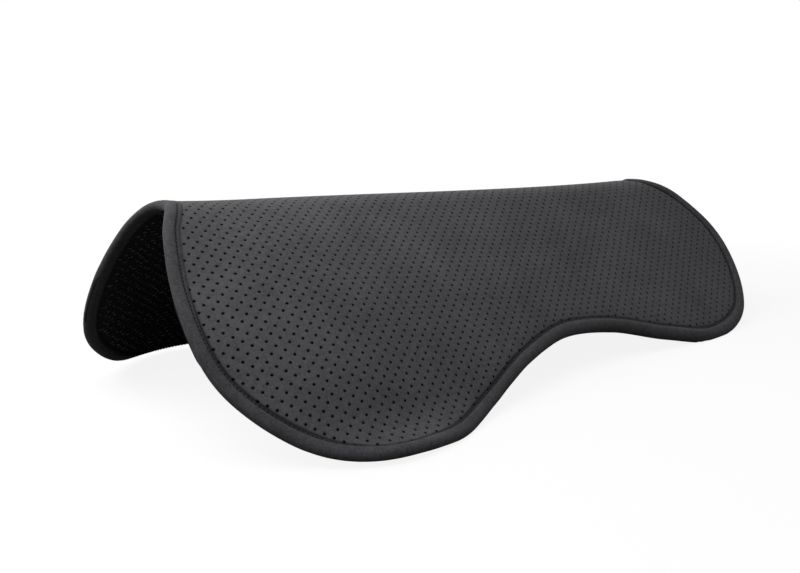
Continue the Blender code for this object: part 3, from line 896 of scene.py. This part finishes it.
def build_knit(nodes, given):
    """Fine knit that follows the piece's own pattern: its height, and the gaps between its loops."""
    flat = nodes.add("ShaderNodeSeparateXYZ", {0: given["Vector"]}).outputs
    along = nodes.maths("DIVIDE", flat[0], given["Loop length"])
    across = nodes.maths("DIVIDE", flat[1], given["Loop width"])
    slant = nodes.plus(along, nodes.maths("PINGPONG", across, 0.5))
    ribs = nodes.maths("SINE", nodes.times(slant, 2 * math.pi))
    wales = nodes.maths("COSINE", nodes.times(across, 2 * math.pi))
    height = nodes.plus(nodes.by_shares(ribs, wales, (KNIT_RISE, KNIT_RISE)), 0.5)
    gap = nodes.maths("SUBTRACT", 1.0, nodes.times(height, KNIT_GAP), clamp=True)
    return {"Height": height, "Gap": gap}


class Finish(Nodes):
    """A material with its shader, and the effects that finishes share."""

    def __init__(self, name):
        self.name = name
        self.material = bpy.data.materials.new(name)
        self.material.use_nodes = True
        super().__init__(self.material.node_tree)
        self.shader = self.tree.nodes["Principled BSDF"]
        roughness, specular, sheen = FINISH[name]
        self.give(self.shader, {
            "Roughness": roughness, "Specular IOR Level": specular, "Sheen Weight": sheen,
            "Sheen Roughness": SHEEN_ROUGHNESS, "Sheen Tint": SHEEN_TINT})

    def place(self):
        """Where a point lies on the pad."""
        return self.add("ShaderNodeTexCoord").outputs["Object"]

    def pattern(self):
        """The coordinates that the piece keeps in its UV map."""
        return self.add("ShaderNodeUVMap", uv_map="pattern").outputs[0]

    def kept_value(self, name):
        """A number that the piece keeps on its points."""
        return self.add("ShaderNodeAttribute", attribute_name=name).outputs["Fac"]

    def effect(self, name, build, vector, values, outputs):
        """Outputs of a shared group, built once and placed with this finish's own values."""
        tree = bpy.data.node_groups.get(name) or new_group(name, build, values, outputs)
        return self.add("ShaderNodeGroup", {"Vector": vector, **values}, node_tree=tree).outputs

    def nap(self):
        return self.effect("Soft nap", build_nap, self.place(), NAP[self.name], ("Shade", "Height"))

    def knit(self):
        return self.effect("Fine knit", build_knit, self.pattern(), KNIT[self.name], ("Height", "Gap"))

    def paint(self, colour, shade):
        """Gives the shader the colour, lighter and darker by the shade."""
        self.give(self.shader, {"Base Color": self.scaled_colour(colour, shade)})

    def raise_by(self, height):
        """Gives the shader the relief of that height."""
        depth, strength = RELIEF[self.name]
        bump = self.add("ShaderNodeBump", {"Height": height, "Distance": depth, "Strength": strength})
        self.give(self.shader, {"Normal": bump.outputs["Normal"]})


def cover_material():
    """Charcoal soft face, dipped round each punched hole, with painted shade round and down its holes and
    beside the tape.
    """
    sizes = bpy.context.scene.pad_sizes
    finish = Finish("cover")
    nap = finish.nap()
    grid = finish.add("ShaderNodeSeparateXYZ", {0: finish.pattern()}).outputs
    off = [finish.minus(part, finish.maths("ROUND", part)) for part in (grid[0], grid[1])]
    radius = finish.maths("SQRT", finish.plus(*(finish.times(part, part) for part in off)))
    rim = sizes.hole_diameter / 2 / sizes.hole_pitch
    ring = finish.eased_range(radius, rim, rim * HOLE_RING_REACH, 1.0, 0.0)
    # Painted shade on the dipped ring round each hole
    shade = finish.dimmed(nap["Shade"], ring, HOLE_RING_PAINTED_SHADE)
    # Painted shade down each hole's wall, where the cut's dark foam also shows, and on the cover beside the
    # tape
    for name, steps in (("depth", HOLE_WALL_FOAM_AND_SHADE), ("inset", TAPE_SIDE_PAINTED_SHADE)):
        shade = finish.shaded(shade, finish.kept_value(name), steps)
    finish.paint(bpy.context.scene.pad_colours.cover, shade)
    finish.raise_by(finish.minus(finish.times(nap["Height"], COVER_NAP_RELIEF), ring))
    return finish.material


def core_material():
    """Closed-cell foam: fine cells with painted shade in their hollow middles."""
    finish = Finish("core")
    pores = finish.add("ShaderNodeTexVoronoi", {"Vector": finish.place(), "Scale": FOAM_SCALE})
    pores = pores.outputs["Distance"]
    start, end, low, high = FOAM_PAINTED_SHADE
    # Painted shade, darkest in each cell's hollow middle
    shade = finish.add("ShaderNodeMapRange", {0: pores, 1: start, 2: end, 3: low, 4: high}).outputs[0]
    finish.paint(bpy.context.scene.pad_colours.core, shade)
    finish.raise_by(pores)
    return finish.material


def lining_material():
    """Black rubbery knit, with a painted highlight on its bars in patches."""
    finish = Finish("grip_lining")
    # Painted highlight on the raised bars, in patches that a noise picks
    glint_patches = finish.add("ShaderNodeTexNoise", {"Vector": finish.place(), **BAR_GLINT_NOISE}).outputs["Fac"]
    pale = finish.shaded(finish.kept_value("raised"), glint_patches, BAR_GLINT_STEPS)
    shade = finish.times(finish.nap()["Shade"], finish.mix_value(pale, 1.0, BAR_GLINT_TONE))
    finish.paint(bpy.context.scene.pad_colours.lining, shade)
    finish.raise_by(finish.knit()["Height"])
    return finish.material


def tape_material():
    """Soft charcoal tape with a fine knit that follows it round the edge, and painted shade along its stitch
    lines.
    """
    finish = Finish("binding")
    nap = finish.nap()
    knit = finish.knit()
    # Painted shade in the gaps between the knit's loops
    shade = finish.dimmed(nap["Shade"], knit["Gap"], KNIT_GAP_PAINTED_SHADE)
    across = finish.add("ShaderNodeSeparateXYZ", {0: finish.pattern()}).outputs[1]
    places = distance_across(TAPE_SECTION)
    # Painted shade in the groove along each stitch line
    for point in STITCH_POINTS:
        off = finish.maths("ABSOLUTE", finish.minus(across, float(places[point])))
        shade = finish.shaded(shade, off, STITCH_LINE_PAINTED_SHADE)
    # Painted shade along the flange's edge, where it steps down onto the cover
    shade = finish.shaded(shade, across, FLANGE_EDGE_PAINTED_SHADE)
    finish.paint(bpy.context.scene.pad_colours.tape, shade)
    finish.raise_by(finish.by_shares(knit["Height"], nap["Height"], TAPE_RELIEF))
    return finish.material


def thread_material():
    """Dull black thread with the twist of its plies, painted darker between them and lighter on their
    crowns.
    """
    finish = Finish("thread")
    flat = finish.add("ShaderNodeSeparateXYZ", {0: finish.pattern()}).outputs
    along = finish.maths("DIVIDE", flat[0], PLY_LENGTH)
    across = finish.maths("DIVIDE", flat[1], PLY_WIDTH)
    ply = finish.maths("PINGPONG", finish.plus(along, across), 0.5)
    # Painted shade between the plies and painted light on their crowns
    finish.paint(bpy.context.scene.pad_colours.thread, finish.plus(ply, PLY_PAINTED_SHADE))
    finish.raise_by(ply)
    return finish.material


def floor_material():
    """Pale floor that keeps the shadow beside the pad and fades to the white background."""
    finish = Finish("floor")
    away = finish.add("ShaderNodeVectorMath", {0: finish.place()}, operation="LENGTH").outputs["Value"]
    far = finish.eased_range(away, *FLOOR_FADE)
    seen = finish.add("ShaderNodeLightPath").outputs["Is Camera Ray"]
    finish.paint(WHITE[:3], finish.mix_value(seen, FLOOR_BOUNCE, FLOOR_COLOUR))
    white = finish.add("ShaderNodeEmission", {"Color": WHITE, "Strength": 1.0})
    parts = {0: finish.times(far, seen), 1: finish.shader.outputs[0], 2: white.outputs[0]}
    blend = finish.add("ShaderNodeMixShader", parts)
    finish.give(finish.tree.nodes["Material Output"], {"Surface": blend.outputs[0]})
    return finish.material


def build_floor():
    bpy.ops.object.select_all(action="DESELECT")
    bpy.ops.mesh.primitive_plane_add(size=FLOOR_SIZE, location=(0.0, 0.0, -FLOOR_DROP))
    floor = bpy.context.object
    floor.name = "floor"
    floor.data.materials.append(floor_material())


def build_world():
    """White to the eye and in reflections, and plain soft light on the pad."""
    world = bpy.data.worlds.new("studio")
    world.use_nodes = True
    bpy.context.scene.world = world
    nodes = Nodes(world.node_tree)
    ray = nodes.add("ShaderNodeLightPath").outputs
    seen = nodes.maths("MAXIMUM", ray["Is Camera Ray"], ray["Is Transmission Ray"])
    seen = nodes.maths("MAXIMUM", seen, ray["Is Glossy Ray"])
    strength = nodes.mix_value(seen, WORLD_STRENGTH, 1.0)
    nodes.give(nodes.tree.nodes["Background"], {"Color": WHITE, "Strength": strength})


def build_lamps():
    for name, (place, width, power) in LAMPS.items():
        bpy.ops.object.light_add(type="AREA", location=place)
        lamp = bpy.context.object
        lamp.name = name
        lamp.data.size = width
        lamp.data.energy = power
        lamp.visible_camera = False
        aim = Vector(LAMP_AIM) - Vector(place)
        lamp.rotation_euler = aim.to_track_quat("-Z", "Y").to_euler()


def build_camera():
    azimuth, elevation, roll = map(math.radians, (VIEW_AZIMUTH_DEG, VIEW_ELEVATION_DEG, VIEW_ROLL_DEG))
    forward = Vector((-math.cos(azimuth) * math.cos(elevation), math.sin(azimuth) * math.cos(elevation),
                      -math.sin(elevation)))
    right = Vector((forward.y, -forward.x, 0.0)).normalized()
    up = right.cross(forward)
    rolled_right = right * math.cos(roll) + up * math.sin(roll)
    rolled_up = up * math.cos(roll) - right * math.sin(roll)
    bpy.ops.object.camera_add()
    camera = bpy.context.object
    camera.name = "camera"
    turn = Matrix((rolled_right, rolled_up, -forward)).transposed().to_4x4()
    camera.matrix_world = Matrix.Translation(Vector(VIEW_TARGET) - forward * VIEW_DISTANCE) @ turn
    camera.data.sensor_width = SENSOR_MM
    camera.data.lens = VIEW_LENS_MM
    bpy.context.scene.camera = camera


class PAD_OT_core(bpy.types.Operator):
    """Draws the foam core"""

    bl_idname = "saddle_pad.core"
    bl_label = "Foam Core"

    def execute(self, context):
        core = plain_sheet("core", CORE_TOP, CORE_BOTTOM)
        dress(core, core_material(), ("core",))
        return {"FINISHED"}


class PAD_OT_cover(bpy.types.Operator):
    """Draws the perforated cover"""

    bl_idname = "saddle_pad.cover"
    bl_label = "Perforated Cover"

    def execute(self, context):
        cover = build_cover()
        dress(cover, cover_material(), ("cover",))
        flat_area()
        return {"FINISHED"}


class PAD_OT_grip_lining(bpy.types.Operator):
    """Draws the grip lining with its raised bars"""

    bl_idname = "saddle_pad.grip_lining"
    bl_label = "Grip Lining"

    def execute(self, context):
        lining = build_grip_lining()
        dress(lining, lining_material(), ("grip_lining",))
        flat_area()
        return {"FINISHED"}


class PAD_OT_binding(bpy.types.Operator):
    """Draws the folded tape round the edge"""

    bl_idname = "saddle_pad.binding"
    bl_label = "Edge Binding"

    def execute(self, context):
        binding = build_binding()
        dress(binding, tape_material(), ("binding",))
        Edge(RIM_STATIONS).length
        return {"FINISHED"}


class PAD_OT_threads(bpy.types.Operator):
    """Draws the two threads of the lock stitch"""

    bl_idname = "saddle_pad.threads"
    bl_label = "Stitching"

    def execute(self, context):
        material = thread_material()
        for name, above in (("needle_thread", True), ("bobbin_thread", False)):
            dress(build_thread(name, above), material, (name,))
        return {"FINISHED"}


class PAD_OT_stage(bpy.types.Operator):
    """Sets up the floor, the light and the camera"""

    bl_idname = "saddle_pad.stage"
    bl_label = "Stage"

    def execute(self, context):
        build_floor()
        build_world()
        build_lamps()
        build_camera()
        context.scene.view_settings.view_transform = "Standard"
        return {"FINISHED"}


OPERATORS = (PAD_OT_core, PAD_OT_cover, PAD_OT_grip_lining, PAD_OT_binding, PAD_OT_threads, PAD_OT_stage)


class PAD_PT_panel(bpy.types.Panel):
    """Lists the pad's sizes, colours and pieces"""

    bl_idname = "PAD_PT_panel"
    bl_label = "Saddle Pad"
    bl_space_type = "VIEW_3D"
    bl_region_type = "UI"
    bl_category = "Saddle Pad"

    def draw(self, context):
        layout = self.layout
        for group in (context.scene.pad_sizes, context.scene.pad_colours):
            for name in group.__annotations__:
                layout.prop(group, name)
        for operator in OPERATORS:
            layout.operator(operator.bl_idname)


CLASSES = (PadSizes, PadColours) + OPERATORS + (PAD_PT_panel,)


def register():
    for cls in CLASSES:
        bpy.utils.register_class(cls)
    bpy.types.Scene.pad_sizes = PointerProperty(type=PadSizes)
    bpy.types.Scene.pad_colours = PointerProperty(type=PadColours)


def unregister():
    del bpy.types.Scene.pad_colours
    del bpy.types.Scene.pad_sizes
    for cls in reversed(CLASSES):
        bpy.utils.unregister_class(cls)


def main():
    register()
    bpy.ops.saddle_pad.core()
    bpy.ops.saddle_pad.cover()
    bpy.ops.saddle_pad.grip_lining()
    bpy.ops.saddle_pad.binding()
    bpy.ops.saddle_pad.threads()
    bpy.ops.saddle_pad.stage()


if __name__ == "__main__":
    main()
